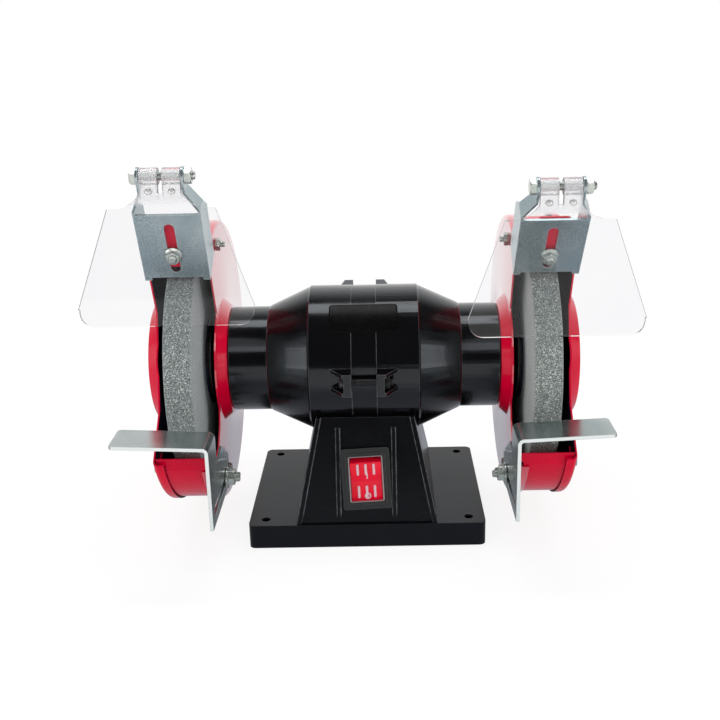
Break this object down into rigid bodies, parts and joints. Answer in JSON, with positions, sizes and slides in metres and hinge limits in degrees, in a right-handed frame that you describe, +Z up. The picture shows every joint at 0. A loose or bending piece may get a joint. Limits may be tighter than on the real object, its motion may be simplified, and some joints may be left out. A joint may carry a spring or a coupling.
{
  "type": "bench grinder",
  "caption": "Bench grinder: central electric motor on a cast pedestal, a grinding wheel in a sheet guard at each end, with spark arrestor, clear eye shield and sliding tool rest.",
  "frame": {"origin": "centre of the base's underside, below the middle of the shaft", "axes": "+X along the shaft to the operator's right, +Y away from the operator, +Z up"},
  "size_m": [0.307, 0.1937, 0.2348],
  "materials": {
    "base_black": "gloss black enamel on the cast base",
    "housing_black": "gloss black enamel on the cast motor housings",
    "guard_red": "gloss red enamel on pressed sheet",
    "galvanised": "bright zinc-plated sheet",
    "fastener_steel": "zinc-plated screws, bolts, nuts and rivets",
    "bearing_steel": "ground bearing and shaft steel",
    "core_steel": "laminated rotor and stator sheets",
    "clear_sheet": "clear polycarbonate",
    "coarse_abrasive": "vitrified grey abrasive, coarse grit",
    "fine_abrasive": "vitrified grey abrasive, fine grit",
    "flange_black": "blackened steel clamping flanges",
    "paper": "paper blotter",
    "copper": "enamelled copper wire",
    "cover_sheet": "plain zinc-plated cover sheet",
    "capacitor_case": "pale capacitor case",
    "switch_black": "dark grey switch frame and body",
    "rocker_red": "translucent red rocker",
    "rubber_black": "black rubber gland"
  },
  "bodies": {
    "frame": {"base": "base_black", "base_cover": "cover_sheet", "base_cover_screws": "fastener_steel", "housing_left": "housing_black", "housing_right": "housing_black", "housing_bolts": "fastener_steel", "stator_core": "housing_black", "stator_windings": "copper", "tie_screws": "fastener_steel", "capacitor": "capacitor_case", "capacitor_clip": "cover_sheet", "cable_gland": "rubber_black", "switch_frame": "switch_black", "switch_body": "switch_black", "bearing_outer_left": "bearing_steel", "bearing_outer_right": "bearing_steel", "guard_inner_left": "guard_red", "guard_inner_right": "guard_red", "guard_band_left": "guard_red", "guard_band_right": "guard_red", "guard_cover_left": "guard_red", "guard_cover_right": "guard_red", "guard_screws_left": "fastener_steel", "guard_screws_right": "fastener_steel", "neck_screws_left": "fastener_steel", "neck_screws_right": "fastener_steel", "arrestor_bolt_left": "fastener_steel", "arrestor_bolt_right": "fastener_steel", "rest_support_left": "galvanised", "rest_support_right": "galvanised", "rest_bolt_left": "fastener_steel", "rest_bolt_right": "fastener_steel"},
    "rotor": {"shaft": "bearing_steel", "rotor_core": "core_steel", "bearing_inner_left": "bearing_steel", "bearing_inner_right": "bearing_steel", "bearing_balls": "bearing_steel", "wheel_left": "coarse_abrasive", "wheel_right": "fine_abrasive", "paper_discs_left": "paper", "paper_discs_right": "paper", "inner_flange_left": "flange_black", "inner_flange_right": "flange_black", "outer_flange_left": "flange_black", "outer_flange_right": "flange_black", "arbor_nut_left": "fastener_steel", "arbor_nut_right": "fastener_steel"},
    "rocker": {"switch_rocker": "rocker_red"},
    "arrestor_slider_left": {"arrestor_left": "galvanised", "pivot_bolt_left": "fastener_steel"},
    "shield_flap_left": {"eye_shield_left": "clear_sheet", "shield_rivets_left": "fastener_steel"},
    "rest_slider_left": {"tool_rest_left": "galvanised"},
    "arrestor_slider_right": {"arrestor_right": "galvanised", "pivot_bolt_right": "fastener_steel"},
    "shield_flap_right": {"eye_shield_right": "clear_sheet", "shield_rivets_right": "fastener_steel"},
    "rest_slider_right": {"tool_rest_right": "galvanised"}
  },
  "joints": [
    {"name": "rotor_spin", "type": "hinge", "parent": "frame", "child": "rotor", "pos_m": [0, 0, 0.104], "axis": [1, 0, 0], "continuous": true},
    {"name": "switch_press", "type": "hinge", "parent": "frame", "child": "rocker", "pos_m": [0, -0.04196, 0.0399], "axis": [0.999, 0.01, 0.0425], "range_deg": [-18, 0]},
    {"name": "arrestor_slide_left", "type": "slide", "parent": "frame", "child": "arrestor_slider_left", "axis": [0, -0.3843, 0.9232], "range_m": [-0.003, 0.008]},
    {"name": "arrestor_slide_right", "type": "slide", "parent": "frame", "child": "arrestor_slider_right", "axis": [0, -0.5807, 0.8141], "range_m": [-0.003, 0.007]},
    {"name": "shield_tilt_left", "type": "hinge", "parent": "arrestor_slider_left", "child": "shield_flap_left", "pos_m": [-0.1055, -0.07032, 0.22984], "axis": [1, 0, 0], "range_deg": [-105, 12]},
    {"name": "shield_tilt_right", "type": "hinge", "parent": "arrestor_slider_right", "child": "shield_flap_right", "pos_m": [0.1055, -0.08502, 0.22281], "axis": [1, 0, 0], "range_deg": [-105, 15]},
    {"name": "rest_slide_left", "type": "slide", "parent": "frame", "child": "rest_slider_left", "axis": [0, 1, 0], "range_m": [-0.0045, 0.0075]},
    {"name": "rest_slide_right", "type": "slide", "parent": "frame", "child": "rest_slider_right", "axis": [0, 1, 0], "range_m": [-0.01, 0.002]}
  ]
}
